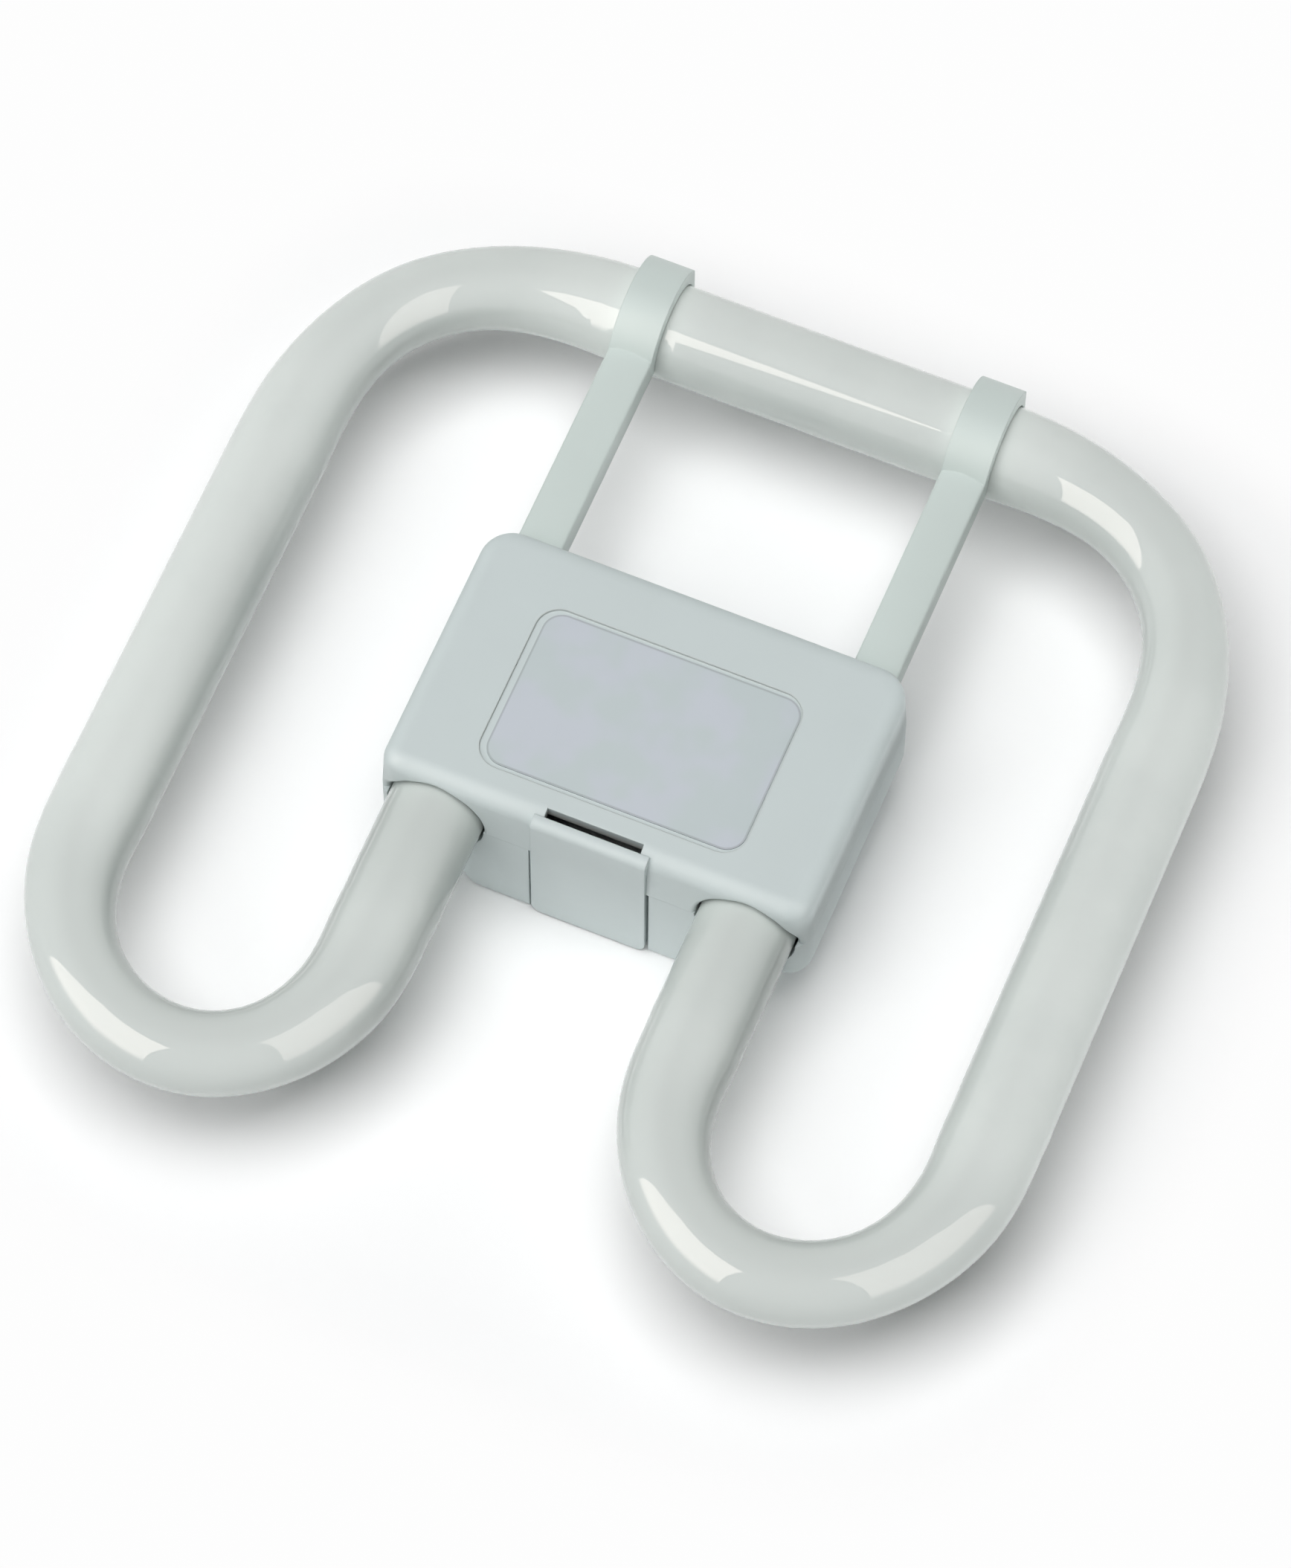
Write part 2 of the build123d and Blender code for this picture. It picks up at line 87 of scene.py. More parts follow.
# How far a roughness goes below and above its own value
PLASTIC_SPREAD = (-0.04, 0.05)
FILM_SPREAD = (-0.05, 0.05)
METAL_SPREAD = (-0.08, 0.10)
GLASS_SPREAD = (-0.025, 0.025)

# Lighter and darker tone of one colour, as factors on it
PLASTIC_TONES = (1.03, 0.965)
RESIN_TONES = (1.1, 0.85)
STREAK_TONE = 0.72
SPECK_TONE = 0.45
TABLE_TONE = 0.995

# Dust: values of the shared effect, and how strongly a speck shows
TUBE_DUST = {"cells": 170.0, "share": 0.14, "radius": 0.055}
MOULDING_DUST = {"cells": 210.0, "share": 0.07, "radius": 0.06}
TUBE_SPECKS = 0.55
MOULDING_SPECKS = 0.45

# Sizes of surface detail in metres, and waves to the metre on a moulded skin
FILM_GLOSS_SIZE = 0.004
STREAK_SIZE = 0.0011
GLASS_STREAK_SIZE = 0.003
MOTTLE_SIZE = 0.0012
TABLE_MOTTLE_SIZE = 0.35
MOULD_WAVES = 70.0
FINE_GRAIN_SHARE = 0.3
LINE_SOLID_SHARE = 0.4

# Strength and height in metres of each bumpy skin
PLASTIC_SKIN = (0.12, 0.0002)
FILM_SKIN = (0.1, 0.0004)
RESIN_SKIN = (0.2, 0.0001)


class LightPlan(NamedTuple):
    """Shape of a rectangular light and its place, in degrees and metres from the lamp's middle."""

    name: str
    azimuth: float
    elevation: float
    width: float
    height: float
    distance: float


def low_fill(name, azimuth):
    """A long, low light along one side of the lamp."""
    return LightPlan(name, azimuth, elevation=3.2, width=1.6, height=0.2, distance=2.0)


# Lights that shade the lamp and cast its shadow, and that no gloss shows
SHADING_LIGHTS = (
    LightPlan("key_light", -122, elevation=82, width=0.87, height=1.07, distance=1.2),
    LightPlan("high_fill", -130, elevation=38, width=1.0, height=1.0, distance=2.0),
    low_fill("front_fill", -102),
    low_fill("back_fill", 90),
    low_fill("left_fill", 180),
    low_fill("right_fill", 0),
)
# Upright panels that only gloss shows, each with the share of its height over which its foot fades
SHINE_PANELS = (
    (LightPlan("left_shine", -132, elevation=0, width=1.2, height=2.46, distance=1.2), 0.16),
    (LightPlan("right_shine", -19, elevation=0, width=1.05, height=5.6, distance=1.2), 0.06),
)


def colour_property(name, description, default):
    """A colour that a user may change, in linear light."""
    return FloatVectorProperty(
        name=name, description=description, subtype="COLOR", size=3, min=0.0, max=1.0, default=default
    )


def share_property(name, description, default):
    """A value from none to all that a user may change."""
    return FloatProperty(
        name=name, description=description, subtype="FACTOR", min=0.0, max=1.0, default=default
    )


def length_property(name, description, default):
    """A length in metres that a user may change."""
    return FloatProperty(
        name=name, description=description, subtype="DISTANCE", unit="LENGTH", default=default
    )


def angle_property(name, description, default):
    """An angle that a user may change, given in degrees."""
    return FloatProperty(
        name=name, description=description, subtype="ANGLE", unit="ROTATION", default=radians(default)
    )


def power_property(name, description, default):
    """A light's power in watts that a user may change."""
    return FloatProperty(name=name, description=description, subtype="POWER", min=0.0, default=default)


class TubeFinish(bpy.types.PropertyGroup):
    """Finish of the opal tube."""

    light_colour: colour_property("Opal", "Powder coat inside the glass", (0.734, 0.748, 0.739))
    cloudy_colour: colour_property("Thin opal", "Powder coat where it is thinner", (0.692, 0.709, 0.701))
    # Darker tone laid on the bends, full at the front and half at the two back corners
    bend_colour: colour_property("Bends", "Powder coat where the glass is bent", (0.635, 0.651, 0.643))
    end_colour: colour_property("Used ends", "Powder coat near the electrodes", (0.50, 0.522, 0.512))
    end_share: share_property("End greying", "How far the used ends have greyed", 0.55)
    dust_colour: colour_property("Dust", "Colour of the specks on the glass", (0.24, 0.25, 0.24))
    glass_tint: colour_property("Glass tint", "Tint of the clear wall over the coat", (0.90, 0.935, 0.915))
    gloss_roughness: share_property("Gloss roughness", "Roughness of the glass surface", 0.012)
    cloud_size: length_property("Cloud size", "Size of the uneven places in the coat", 0.016)


class MouldingFinish(bpy.types.PropertyGroup):
    """Finish of the moulded plastic pieces."""

    cap_colour: colour_property("Cap", "Colour of the two halves of the cap", (0.545, 0.606, 0.606))
    arm_colour: colour_property("Arms", "Colour of the support arms", (0.572, 0.642, 0.617))
    cap_roughness: share_property("Cap roughness", "Roughness of the cap", 0.5)
    arm_roughness: share_property("Arm roughness", "Roughness of the arms", 0.42)
    # Painted shade: the colour painted into the latch slot and as a thin line along the rim of the label's
    # recess, with the line's half width and strength below
    recess_shade_colour: colour_property("Grime", "Colour of what gathers in slot and seams", (0.30, 0.25, 0.205))
    rim_line: length_property("Rim line", "Half width of the grime along the label's recess", 0.00022)
    rim_shade: share_property("Rim grime", "How much grime lies along the label's recess", 0.1)
    edge_radius: length_property("Soft edge", "Rounding of moulded edges as light sees them", 0.00022)
    grain_size: length_property("Grain size", "Size of the mould's fine texture", 0.0006)


class LabelFinish(bpy.types.PropertyGroup):
    """Finish of the bare label."""

    film_colour: colour_property("Film", "Colour of the label", (0.488, 0.549, 0.558))
    faded_colour: colour_property("Faded film", "Colour where the label has faded", (0.514, 0.552, 0.599))
    edge_colour: colour_property("Cut edge", "Colour along the label's cut edge", (0.20, 0.215, 0.22))
    edge_line: length_property("Edge line", "Half width of the line along the cut edge", 0.00034)
    edge_share: share_property("Edge strength", "How strongly the cut edge shows", 0.4)
    corner: length_property("Corner", "Radius of the label's corners", 0.0028)
    recess_margin: length_property("Recess margin", "Width of the recess round a centred label", 0.0006)
    film_roughness: share_property("Film roughness", "Roughness of the label", 0.34)
    wave_size: length_property("Wave size", "Size of the waves in the film", 0.009)


class SmallPartFinish(bpy.types.PropertyGroup):
    """Finish of the pins, the starter and what joins them."""

    brass_colour: colour_property("Brass", "Colour of the contact pins", (0.80, 0.66, 0.40))
    brass_roughness: share_property("Brass roughness", "Roughness of the contact pins", 0.3)
    glass_colour: colour_property("Bottle", "Colour of the starter's glass", (0.92, 0.95, 0.94))
    glass_roughness: share_property("Bottle roughness", "Roughness of the starter's glass", 0.035)
    resin_colour: colour_property("Resin", "Colour of the capacitor", (0.46, 0.20, 0.06))
    resin_roughness: share_property("Resin roughness", "Roughness of the capacitor", 0.35)
    wire_colour: colour_property("Wire", "Colour of the wires", (0.62, 0.60, 0.57))
    wire_roughness: share_property("Wire roughness", "Roughness of the wires", 0.34)
    seat_colour: colour_property("Seats", "Colour of the tube's soft seats", (0.34, 0.33, 0.31))
    seat_roughness: share_property("Seat roughness", "Roughness of the tube's soft seats", 0.75)


class StageSettings(bpy.types.PropertyGroup):
    """Table, lights and camera."""

    table_colour: colour_property("Table", "Colour of the table", (0.955, 0.957, 0.96))
    table_size: length_property("Table size", "Width of the table", 8.0)
    white_colour: colour_property("White", "What the table shows further out", (0.985, 0.985, 0.985))
    white_start: length_property("White from", "Where the table starts to turn white", 0.074)
    white_full: length_property("White past", "Where the table is fully white", 0.092)
    key_light: power_property("Key light", "Power of the high light that casts the shadow", 14.0)
    high_fill: power_property("High fill", "Power of the soft light from the left, half-way up", 8.0)
    front_fill: power_property("Front fill", "Power of the soft light on the lamp's front", 5.0)
    back_fill: power_property("Back fill", "Power of the soft light on the lamp's back", 9.3)
    left_fill: power_property("Left fill", "Power of the soft light on the lamp's left", 7.1)
    right_fill: power_property("Right fill", "Power of the soft light on the lamp's right", 14.2)
    left_shine: power_property("Left shine", "Power of the left panel that the glass mirrors", 47.0)
    right_shine: power_property("Right shine", "Power of the right panel that the glass mirrors", 50.0)
    shine_colour: colour_property("Shine", "Colour of the panels that the glass mirrors", (1.0, 0.9, 0.83))
    camera_distance: length_property("Camera distance", "From the camera to its aim", 0.9933)
    camera_azimuth: angle_property("Camera azimuth", "Turn of the camera about the lamp", -67.75)
    camera_elevation: angle_property("Camera elevation", "Height of the camera over the table", 63.95)
    camera_roll: angle_property("Camera roll", "Turn of the camera about its own line", 0.53)
    camera_aim: FloatVectorProperty(
        name="Camera aim",
        description="Where the camera looks",
        subtype="XYZ_LENGTH",
        default=(0.0019, -0.0029, 0.0176),
    )
    lens: FloatProperty(name="Lens", description="Focal length", subtype="DISTANCE_CAMERA", default=170.7)


class Shading:
    """A node tree with short ways to add and join nodes."""

    def __init__(self, name, tree=None):
        if tree is None:
            self.material = bpy.data.materials.new(name)
            self.material.use_nodes = True
            tree = self.material.node_tree
            tree.nodes.clear()
        self.tree = tree
        self.column = 0

    def node(self, kind, **settings):
        """Add a node and set its own options."""
        made = self.tree.nodes.new(kind)
        made.location = (NODE_STEP * self.column, 0)
        self.column += 1
        for key, value in settings.items():
            setattr(made, key, value)
        return made

    def join(self, start, end):
        """Link an output socket to an input socket."""
        self.tree.links.new(start, end)

    def feed(self, value, end):
        """Give an input socket another node's output or a plain value."""
        if isinstance(value, bpy.types.NodeSocket):
            self.join(value, end)
        else:
            end.default_value = value

    def math(self, operation, first, second=0.0, clamp=False):
        """Add a Math node whose two values are sockets or plain numbers."""
        made = self.node("ShaderNodeMath", operation=operation, use_clamp=clamp)
        self.feed(first, made.inputs[0])
        self.feed(second, made.inputs[1])
        return made.outputs["Value"]

    def product(self, first, *others):
        """Multiply masks and plain shares."""
        for other in others:
            first = self.math("MULTIPLY", first, other)
        return first

    def span(self, value, from_min, from_max, to_min=0.0, to_max=1.0):
        """Map a value from one range to another, smoothly and within the new range."""
        made = self.node("ShaderNodeMapRange", interpolation_type="SMOOTHSTEP")
        self.join(value, made.inputs["Value"])
        made.inputs["From Min"].default_value = from_min
        made.inputs["From Max"].default_value = from_max
        made.inputs["To Min"].default_value = to_min
        made.inputs["To Max"].default_value = to_max
        return made.outputs["Result"]

    def mix(self, share, first, second):
        """Mix two colours, each a socket or a plain colour."""
        made = self.node("ShaderNodeMix", data_type="RGBA")
        colours = {socket.name: socket for socket in made.inputs if socket.type == "RGBA"}
        self.join(share, made.inputs["Factor"])
        for name, value in (("A", first), ("B", second)):
            plain = not isinstance(value, bpy.types.NodeSocket)
            self.feed(opaque(value) if plain else value, colours[name])
        return next(socket for socket in made.outputs if socket.type == "RGBA")

    def noise(self, vector, per_metre, detail=3.0, roughness=0.5):
        """Add a noise with about so many features to the metre."""
        made = self.node("ShaderNodeTexNoise")
        self.join(vector, made.inputs["Vector"])
        self.feed(per_metre, made.inputs["Scale"])
        made.inputs["Detail"].default_value = detail
        made.inputs["Roughness"].default_value = roughness
        return made.outputs["Fac"]

    def gloss(self, noise, roughness, spread):
        """Let a roughness vary with a noise."""
        less, more = spread
        return self.span(noise, *NOISE_RANGE, roughness + less, roughness + more)

    def bump(self, height, skin, normal=None):
        """Turn heights into a bumpy skin, over another normal where one is given."""
        made = self.node("ShaderNodeBump")
        made.inputs["Strength"].default_value, made.inputs["Distance"].default_value = skin
        self.join(height, made.inputs["Height"])
        if normal is not None:
            self.join(normal, made.inputs["Normal"])
        return made.outputs["Normal"]

    def place(self):
        """Give the piece's own coordinates."""
        return self.node("ShaderNodeTexCoord").outputs["Object"]

    def axes(self, vector):
        """Split coordinates into X, Y and Z."""
        made = self.node("ShaderNodeSeparateXYZ")
        self.join(vector, made.inputs["Vector"])
        return tuple(made.outputs)

    def use_group(self, group, vector, **values):
        """Place a shared effect, with its own values, and give its outputs."""
        made = self.node("ShaderNodeGroup", node_tree=group)
        self.join(vector, made.inputs["Vector"])
        for key, value in values.items():
            made.inputs[key.replace("_", " ").capitalize()].default_value = value
        return made.outputs

    def principled(self, **values):
        """Add the Principled shader, with sockets joined and plain values set on its own sockets."""
        shader = self.node("ShaderNodeBsdfPrincipled")
        for key, value in values.items():
            self.feed(value, shader.inputs[key.replace("_", " ").title().replace("Ior", "IOR")])
        return shader.outputs["BSDF"]

    def finish(self, shader, output="ShaderNodeOutputMaterial"):
        """Join a shader to the tree's output."""
        self.join(shader, self.node(output).inputs["Surface"])


def opaque(colour):
    """A colour with nothing see-through about it."""
    return (*colour, 1.0)


def scaled(colour, factor):
    """A colour made lighter or darker."""
    return tuple(min(1.0, part * factor) for part in colour)


def shared_effect(name, inputs, outputs, fill):
    """Find a shared effect, or make it with named inputs and outputs and have it filled."""
    group = bpy.data.node_groups.get(name)
    if group:
        return group
    group = bpy.data.node_groups.new(name, "ShaderNodeTree")
    group.interface.new_socket("Vector", in_out="INPUT", socket_type="NodeSocketVector")
    for socket_name, default in inputs.items():
        socket = group.interface.new_socket(socket_name, in_out="INPUT", socket_type="NodeSocketFloat")
        socket.default_value = default
    for socket_name in outputs:
        group.interface.new_socket(socket_name, in_out="OUTPUT", socket_type="NodeSocketFloat")
    kit = Shading(name, group)
    results = fill(kit, kit.node("NodeGroupInput").outputs)
    sink = kit.node("NodeGroupOutput")
    for socket_name, result in zip(outputs, results):
        kit.join(result, sink.inputs[socket_name])
    return group


def dust_specks():
    """Shared effect: a few small specks, each in a cell of its own."""

    def fill(kit, given):
        cells = kit.node("ShaderNodeTexVoronoi", feature="F1")
        kit.join(given["Vector"], cells.inputs["Vector"])
        kit.join(given["Cells"], cells.inputs["Scale"])
        draws = kit.node("ShaderNodeSeparateColor")
        kit.join(cells.outputs["Color"], draws.inputs["Color"])
        chosen = kit.math("LESS_THAN", draws.outputs["Red"], given["Share"])
        size = kit.product(draws.outputs["Green"], given["Radius"])
        inside = kit.math("LESS_THAN", cells.outputs["Distance"], size)
        return (kit.product(chosen, inside),)

    return shared_effect("dust_specks", {"Cells": 150.0, "Share": 0.1, "Radius": 0.05}, ("Mask",), fill)


def moulded_grain():
    """Shared effect: the fine skin of a moulded piece, with a slower waviness under it."""

    def fill(kit, given):
        fine = kit.noise(given["Vector"], given["Fineness"], detail=2.0)
        slow = kit.noise(given["Vector"], given["Waviness"])
        return kit.math("ADD", kit.product(fine, FINE_GRAIN_SHARE), slow), slow

    inputs = {"Fineness": 1600.0, "Waviness": 90.0}
    return shared_effect("moulded_grain", inputs, ("Height", "Shade"), fill)


def rounded_outline():
    """Shared effect: a thin line along a rounded rectangle that lies flat round the origin."""

    def fill(kit, given):
        x, y, _ = kit.axes(given["Vector"])
        beyond = []
        for length, half in ((x, given["Half width"]), (y, given["Half height"])):
            straight = kit.math("SUBTRACT", half, given["Corner"])
            beyond.append(kit.math("SUBTRACT", kit.math("ABSOLUTE", length), straight))
        outside = [kit.math("MAXIMUM", past, 0.0) for past in beyond]
        squares = [kit.product(past, past) for past in outside]
        reach = kit.math("SQRT", kit.math("ADD", *squares))
        inside = kit.math("MINIMUM", kit.math("MAXIMUM", *beyond), 0.0)
        distance = kit.math("SUBTRACT", kit.math("ADD", reach, inside), given["Corner"])
        share = kit.math("DIVIDE", kit.math("ABSOLUTE", distance), given["Line"])
        return (kit.span(share, 1.0, LINE_SOLID_SHARE),)

    inputs = {"Half width": 0.02, "Half height": 0.01, "Corner": 0.003, "Line": 0.0002}
    return shared_effect("rounded_outline", inputs, ("Mask",), fill)


def dress(node_name, material):
    """Give a piece of the packed model its finish."""
    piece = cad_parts[node_name]
    piece.data.materials.clear()
    piece.data.materials.append(material)


def bent_glass(kit, place):
    """Mask of the tube's bends: full at the front, weaker at the two corners at the back."""
    x, y, _ = kit.axes(place)
    front = kit.span(y, *FRONT_BEND_Y)
    across = kit.span(kit.math("ABSOLUTE", x), *CORNER_X)
    corners = kit.product(across, kit.span(y, *CORNER_Y), CORNER_SHARE)
    return kit.math("MAXIMUM", front, corners)


def used_ends(kit, place):
    """Mask of the tube's limbs where they near the electrodes under the front cover."""
    low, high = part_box("front_cover")
    x, y, _ = kit.axes(place)
    near = kit.span(y, low.y - END_REACH, low.y + END_OVERLAP)
    on_limb = kit.span(kit.math("ABSOLUTE", x), high.x + END_SIDE_BLUR, high.x)
    in_front = kit.span(y, high.y, high.y - END_BACK_BLUR)
    return kit.product(near, on_limb, in_front)


def opal_glass(finish):
    """Clear glass over a white powder coat that is uneven, darker at the bends, and has greyed near the
    electrodes.
    """
    kit = Shading("opal_glass")
    place = kit.place()
    clouds = kit.span(kit.noise(place, 1.0 / finish.cloud_size, detail=4.0), *CLOUD_RANGE)
    coat = kit.mix(clouds, finish.light_colour, finish.cloudy_colour)
    coat = kit.mix(bent_glass(kit, place), coat, finish.bend_colour)
    coat = kit.mix(kit.product(used_ends(kit, place), finish.end_share), coat, finish.end_colour)
    specks = kit.use_group(dust_specks(), place, **TUBE_DUST)["Mask"]
    coat = kit.mix(kit.product(specks, TUBE_SPECKS), coat, finish.dust_colour)
    kit.finish(kit.principled(
        base_color=coat,
        roughness=0.5,
        specular_ior_level=0.0,
        coat_weight=1.0,
        coat_roughness=finish.gloss_roughness,
        coat_ior=1.52,
        coat_tint=opaque(finish.glass_tint),
    ))
    return kit.material


def label_outline(kit, vector, label, margin, line):
    """Mask of a thin line that goes round the label's shape at a margin."""
    low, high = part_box("rating_label")
    return kit.use_group(
        rounded_outline(),
        vector,
        half_width=(high.x - low.x) / 2 + margin,
        half_height=(high.y - low.y) / 2 + margin,
        corner=label.corner + margin,
        line=line,
    )["Mask"]


def slot_inside(kit, place):
    """Mask of painted shade in the latch slot of the front cover, growing from a little below its mouth to
    its bottom.
    """
    x, y, z = kit.axes(place)
    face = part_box("front_cover")[1].z
    along = kit.span(kit.math("ABSOLUTE", x), SLOT_HALF + SLOT_SIDE_BLUR, SLOT_HALF)
    past_front = kit.span(y, SLOT_FRONT - SLOT_END_BLUR, SLOT_FRONT)
    before_back = kit.span(y, SLOT_BACK + SLOT_END_BLUR, SLOT_BACK)
    depth = kit.span(z, face - SLOT_LIT_DEPTH, face - SLOT_DARK_DEPTH, 0.0, SLOT_SHADE)
    return kit.product(along, depth, past_front, before_back)


def paint_recess_shade(kit, place, tone, label, finish):
    """Paint shade along the rim of the label's recess and inside the latch slot, deeper down the slot."""
    rim = label_outline(kit, place, label, label.recess_margin, finish.rim_line)
    tone = kit.mix(kit.product(rim, finish.rim_shade), tone, finish.recess_shade_colour)
    return kit.mix(slot_inside(kit, place), tone, finish.recess_shade_colour)


def moulded_plastic(name, colour, roughness, finish, label=None):
    """Semi-gloss plastic with a fine skin, soft edges, a little dust, and, where a label lies, painted
    shade along its recess and in the latch slot.
    """
    kit = Shading(name)
    place = kit.place()
    lighter, darker = PLASTIC_TONES
    grain = kit.use_group(moulded_grain(), place, fineness=1.0 / finish.grain_size, waviness=MOULD_WAVES)
    tone = kit.mix(grain["Shade"], scaled(colour, lighter), scaled(colour, darker))
    specks = kit.use_group(dust_specks(), place, **MOULDING_DUST)["Mask"]
    tone = kit.mix(kit.product(specks, MOULDING_SPECKS), tone, scaled(colour, SPECK_TONE))
    if label:
        # Painted shade along the rim of the label's recess and inside the latch slot
        tone = paint_recess_shade(kit, place, tone, label, finish)
    soft_edge = kit.node("ShaderNodeBevel", samples=4)
    soft_edge.inputs["Radius"].default_value = finish.edge_radius
    kit.finish(kit.principled(
        base_color=tone,
        roughness=kit.gloss(grain["Shade"], roughness, PLASTIC_SPREAD),
        specular_ior_level=0.35,
        normal=kit.bump(grain["Height"], PLASTIC_SKIN, soft_edge.outputs["Normal"]),
    ))
    return kit.material


def label_film(finish):
    """Thin satin film with a faint waviness where it is stuck down."""
    kit = Shading("label_film")
    place = kit.place()
    waves = kit.noise(place, 1.0 / finish.wave_size, detail=2.0)
    tone = kit.mix(kit.span(waves, *FADE_RANGE), finish.film_colour, finish.faded_colour)
    low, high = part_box("rating_label")
    centred = kit.node("ShaderNodeMapping")
    centred.inputs["Location"].default_value = -(low + high) / 2
    kit.join(place, centred.inputs["Vector"])
    edge = label_outline(kit, centred.outputs["Vector"], finish, 0.0, finish.edge_line)
    tone = kit.mix(kit.product(edge, finish.edge_share), tone, finish.edge_colour)
    kit.finish(kit.principled(
        base_color=tone,
        roughness=kit.gloss(kit.noise(place, 1.0 / FILM_GLOSS_SIZE), finish.film_roughness, FILM_SPREAD),
        specular_ior_level=0.5,
        normal=kit.bump(waves, FILM_SKIN),
    ))
    return kit.material


def worn_metal(name, colour, roughness):
    """Drawn metal with fine streaks of a duller tone."""
    kit = Shading(name)
    streaks = kit.noise(kit.place(), 1.0 / STREAK_SIZE, detail=4.0, roughness=0.6)
    kit.finish(kit.principled(
        base_color=kit.mix(kit.span(streaks, *STREAK_RANGE), colour, scaled(colour, STREAK_TONE)),
        metallic=1.0,
        roughness=kit.gloss(streaks, roughness, METAL_SPREAD),
    ))
    return kit.material


def starter_glass(colour, roughness):
    """Clear glass of the starter's bottle, with faint streaks in its gloss."""
    kit = Shading("clear_glass")
    streaks = kit.noise(kit.place(), 1.0 / GLASS_STREAK_SIZE)
    kit.finish(kit.principled(
        base_color=opaque(colour),
        roughness=kit.gloss(streaks, roughness, GLASS_SPREAD),
        transmission_weight=1.0,
        ior=1.5,
    ))
    return kit.material


def cast_resin(name, colour, roughness):
    """Dull cast or rubbery material with a mottled tone."""
    kit = Shading(name)
    lighter, darker = RESIN_TONES
    mottle = kit.noise(kit.place(), 1.0 / MOTTLE_SIZE, detail=4.0)
    kit.finish(kit.principled(
        base_color=kit.mix(mottle, scaled(colour, lighter), scaled(colour, darker)),
        roughness=roughness,
        normal=kit.bump(mottle, RESIN_SKIN),
    ))
    return kit.material


class LAMP_OT_tube(bpy.types.Operator):
    """Finish the bent tube in opal glass"""

    bl_idname = "lamp.tube"
    bl_label = "Opal tube"

    def execute(self, context):
        dress("discharge_tube", opal_glass(context.scene.lamp_tube))
        return {"FINISHED"}


class LAMP_OT_cap(bpy.types.Operator):
    """Finish the front cover and the rear housing in moulded plastic"""

    bl_idname = "lamp.cap"
    bl_label = "Cap"

    def execute(self, context):
        finish = context.scene.lamp_moulding
        shade, gloss = finish.cap_colour, finish.cap_roughness
        label = context.scene.lamp_label
        dress("front_cover", moulded_plastic("cover_plastic", shade, gloss, finish, label))
        dress("rear_housing", moulded_plastic("housing_plastic", shade, gloss, finish))
        return {"FINISHED"}


class LAMP_OT_arms(bpy.types.Operator):
    """Finish the two support arms in moulded plastic"""

    bl_idname = "lamp.arms"
    bl_label = "Support arms"

    def execute(self, context):
        finish = context.scene.lamp_moulding
        plastic = moulded_plastic("arm_plastic", finish.arm_colour, finish.arm_roughness, finish)
        for hand in HANDS:
            dress(f"{hand}_support_arm", plastic)
        return {"FINISHED"}


class LAMP_OT_label(bpy.types.Operator):
    """Finish the bare label in satin film"""

    bl_idname = "lamp.label"
    bl_label = "Label"

    def execute(self, context):
        dress("rating_label", label_film(context.scene.lamp_label))
        return {"FINISHED"}


class LAMP_OT_pins(bpy.types.Operator):
    """Finish the two contact pins in brass"""

    bl_idname = "lamp.pins"
    bl_label = "Contact pins"

    def execute(self, context):
        small = context.scene.lamp_small
        brass = worn_metal("pin_brass", small.brass_colour, small.brass_roughness)
        for hand in HANDS:
            dress(f"{hand}_contact_pin", brass)
        return {"FINISHED"}


class LAMP_OT_starter(bpy.types.Operator):
    """Finish the glow starter, its capacitor, the wires and the tube's seats"""

    bl_idname = "lamp.starter"
    bl_label = "Starter, wires and seats"

    def execute(self, context):
        small = context.scene.lamp_small
        dress("starter_bottle", starter_glass(small.glass_colour, small.glass_roughness))
        dress("starter_capacitor", cast_resin("capacitor_resin", small.resin_colour, small.resin_roughness))
        wire = worn_metal("lead_wire", small.wire_colour, small.wire_roughness)
        rubber = cast_resin("seat_rubber", small.seat_colour, small.seat_roughness)
        for hand in HANDS:
            dress(f"{hand}_pin_lead", wire)
            dress(f"{hand}_starter_lead", wire)
            dress(f"{hand}_tube_seat", rubber)
        return {"FINISHED"}


def seen_rays(kit):
    """Share of a ray that shows the background: to the camera, in a mirror or through glass."""
    rays = kit.node("ShaderNodeLightPath").outputs
    direct = kit.math("ADD", rays["Is Camera Ray"], rays["Is Glossy Ray"], clamp=True)
    return kit.math("ADD", direct, rays["Is Transmission Ray"], clamp=True)


def table_material(settings):
    """Table that keeps the lamp's shadow and shows plain white further out."""
    kit = Shading("white_table")
    place = kit.place()
    uneven = kit.noise(place, 1.0 / TABLE_MOTTLE_SIZE, detail=2.0)
    colour = settings.table_colour
    shaded = kit.principled(
        base_color=kit.mix(uneven, colour, scaled(colour, TABLE_TONE)),
        roughness=0.8,
        specular_ior_level=0.0,
    )
    white = kit.node("ShaderNodeEmission")
    white.inputs["Color"].default_value = opaque(settings.white_colour)
    # The sum of fourth powers gives the white a square edge with round corners, as the lamp has
    x, y, _ = kit.axes(place)
    fourth_powers = [kit.math("POWER", kit.math("ABSOLUTE", length), 4.0) for length in (x, y)]
    reach = kit.math("POWER", kit.math("ADD", *fourth_powers), 0.25)
    far = kit.span(reach, settings.white_start, settings.white_full)
    blend = kit.node("ShaderNodeMixShader")
    share, first, second = blend.inputs
    kit.join(kit.product(far, seen_rays(kit)), share)
    kit.join(shaded, first)
    kit.join(white.outputs["Emission"], second)
    kit.finish(blend.outputs["Shader"])
    return kit.material


def lay_table(settings, height):
    """Add the table under the lamp."""
    bpy.ops.mesh.primitive_plane_add(size=settings.table_size, location=(0, 0, height))
    table = bpy.context.object
    table.name = "table"
    bpy.ops.object.transform_apply(location=True, rotation=True, scale=True)
    table.data.materials.append(table_material(settings))


def toward(azimuth, elevation):
    """Unit vector from the lamp towards a place given by two angles."""
    flat = cos(elevation)
    return Vector((flat * cos(azimuth), flat * sin(azimuth), sin(elevation)))


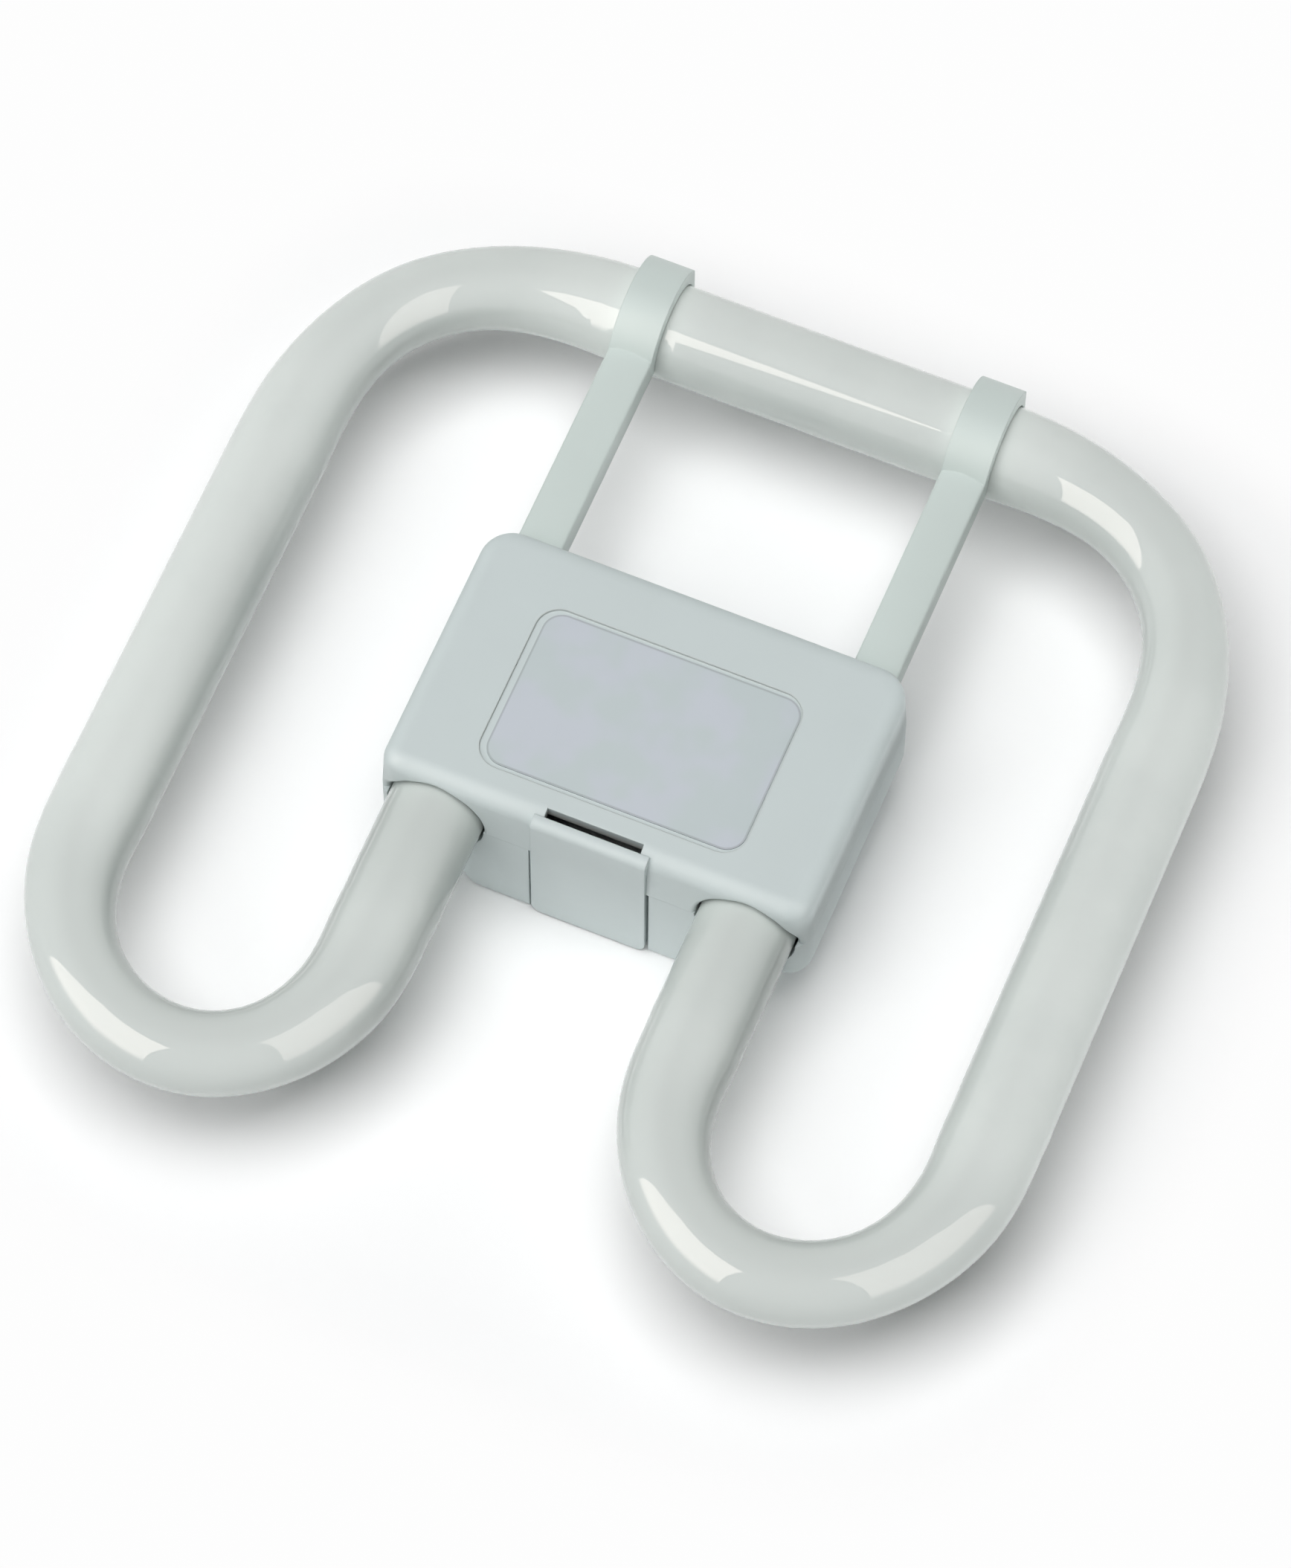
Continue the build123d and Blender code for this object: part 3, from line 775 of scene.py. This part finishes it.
def soft_light(plan, target, power):
    """Add a rectangular light that faces the lamp."""
    way = toward(radians(plan.azimuth), radians(plan.elevation))
    bpy.ops.object.light_add(type="AREA", location=target + way * plan.distance)
    light = bpy.context.object
    light.name = plan.name
    light.rotation_euler = way.to_track_quat("Z", "Y").to_euler()
    light.data.shape = "RECTANGLE"
    light.data.size = plan.width
    light.data.size_y = plan.height
    light.data.energy = power
    return light


def fade_foot(light, share):
    """Let an upright panel's light fade out over its lowest part."""
    light.data.use_nodes = True
    kit = Shading(light.name, light.data.node_tree)
    _, up, _ = kit.axes(kit.node("ShaderNodeNewGeometry").outputs["Parametric"])
    emission = light.data.node_tree.nodes["Emission"]
    kit.join(kit.span(up, 0.0, share), emission.inputs["Strength"])


def hang_lights(settings, target):
    """Add the lights that shade the lamp, and the panels that its gloss mirrors."""
    for plan in SHADING_LIGHTS:
        light = soft_light(plan, target, getattr(settings, plan.name))
        light.visible_glossy = False
    for plan, foot in SHINE_PANELS:
        panel = soft_light(plan, target, getattr(settings, plan.name))
        panel.location.z += plan.height / 2
        panel.visible_diffuse = False
        panel.data.color = settings.shine_colour
        fade_foot(panel, foot)


def white_surround(scene):
    """Show white all round to the camera, in mirrors and through glass, with no light from it."""
    world = bpy.data.worlds.new("studio")
    scene.world = world
    world.use_nodes = True
    world.node_tree.nodes.clear()
    kit = Shading("studio", world.node_tree)
    backdrop = kit.node("ShaderNodeBackground")
    backdrop.inputs["Color"].default_value = WHITE
    kit.join(seen_rays(kit), backdrop.inputs["Strength"])
    kit.finish(backdrop.outputs["Background"], "ShaderNodeOutputWorld")


def place_camera(scene, settings):
    """Aim the camera as the photograph was taken."""
    back = toward(settings.camera_azimuth, settings.camera_elevation)
    right = Vector((0, 0, 1)).cross(back).normalized()
    up = back.cross(right)
    level = Matrix((right, up, back)).transposed().to_4x4()
    roll = Matrix.Rotation(settings.camera_roll, 4, "Z")
    stand = Vector(settings.camera_aim) + back * settings.camera_distance
    bpy.ops.object.camera_add()
    camera = bpy.context.object
    camera.name = "camera"
    camera.matrix_world = Matrix.Translation(stand) @ level @ roll
    camera.data.lens = settings.lens
    scene.camera = camera


class LAMP_OT_stage(bpy.types.Operator):
    """Build the table, the soft lights, the white surround and the camera"""

    bl_idname = "lamp.stage"
    bl_label = "Stage"

    def execute(self, context):
        settings = context.scene.lamp_stage
        low, high = (Vector(corner) for corner in cad_box)
        bpy.ops.object.select_all(action="DESELECT")
        lay_table(settings, low.z)
        hang_lights(settings, (low + high) / 2)
        white_surround(context.scene)
        place_camera(context.scene, settings)
        context.scene.view_settings.view_transform = "Standard"
        return {"FINISHED"}


class LAMP_PT_finish(bpy.types.Panel):
    """Lists the lamp's finishes and its stage"""

    bl_label = "Square lamp"
    bl_idname = "LAMP_PT_finish"
    bl_space_type = "VIEW_3D"
    bl_region_type = "UI"
    bl_category = "Lamp"

    def draw(self, context):
        for operator in OPERATORS:
            self.layout.operator(operator.bl_idname)
        for group_name, group in SETTINGS.items():
            box = self.layout.box()
            box.label(text=group.__doc__)
            for key in group.__annotations__:
                box.prop(getattr(context.scene, group_name), key)


SETTINGS = {
    "lamp_tube": TubeFinish,
    "lamp_moulding": MouldingFinish,
    "lamp_label": LabelFinish,
    "lamp_small": SmallPartFinish,
    "lamp_stage": StageSettings,
}
OPERATORS = (
    LAMP_OT_tube,
    LAMP_OT_cap,
    LAMP_OT_arms,
    LAMP_OT_label,
    LAMP_OT_pins,
    LAMP_OT_starter,
    LAMP_OT_stage,
)


def register():
    """Make the settings, the operators and the panel known to Blender."""
    for group_name, group in SETTINGS.items():
        bpy.utils.register_class(group)
        setattr(bpy.types.Scene, group_name, PointerProperty(type=group))
    for operator in OPERATORS:
        bpy.utils.register_class(operator)
    bpy.utils.register_class(LAMP_PT_finish)


def unregister():
    """Take away what register made known."""
    bpy.utils.unregister_class(LAMP_PT_finish)
    for operator in reversed(OPERATORS):
        bpy.utils.unregister_class(operator)
    for group_name, group in SETTINGS.items():
        delattr(bpy.types.Scene, group_name)
        bpy.utils.unregister_class(group)


def main():
    """Register the classes, finish every piece and build the stage."""
    register()
    bpy.ops.lamp.tube()
    bpy.ops.lamp.cap()
    bpy.ops.lamp.arms()
    bpy.ops.lamp.label()
    bpy.ops.lamp.pins()
    bpy.ops.lamp.starter()
    bpy.ops.lamp.stage()


if __name__ == "__main__":
    main()
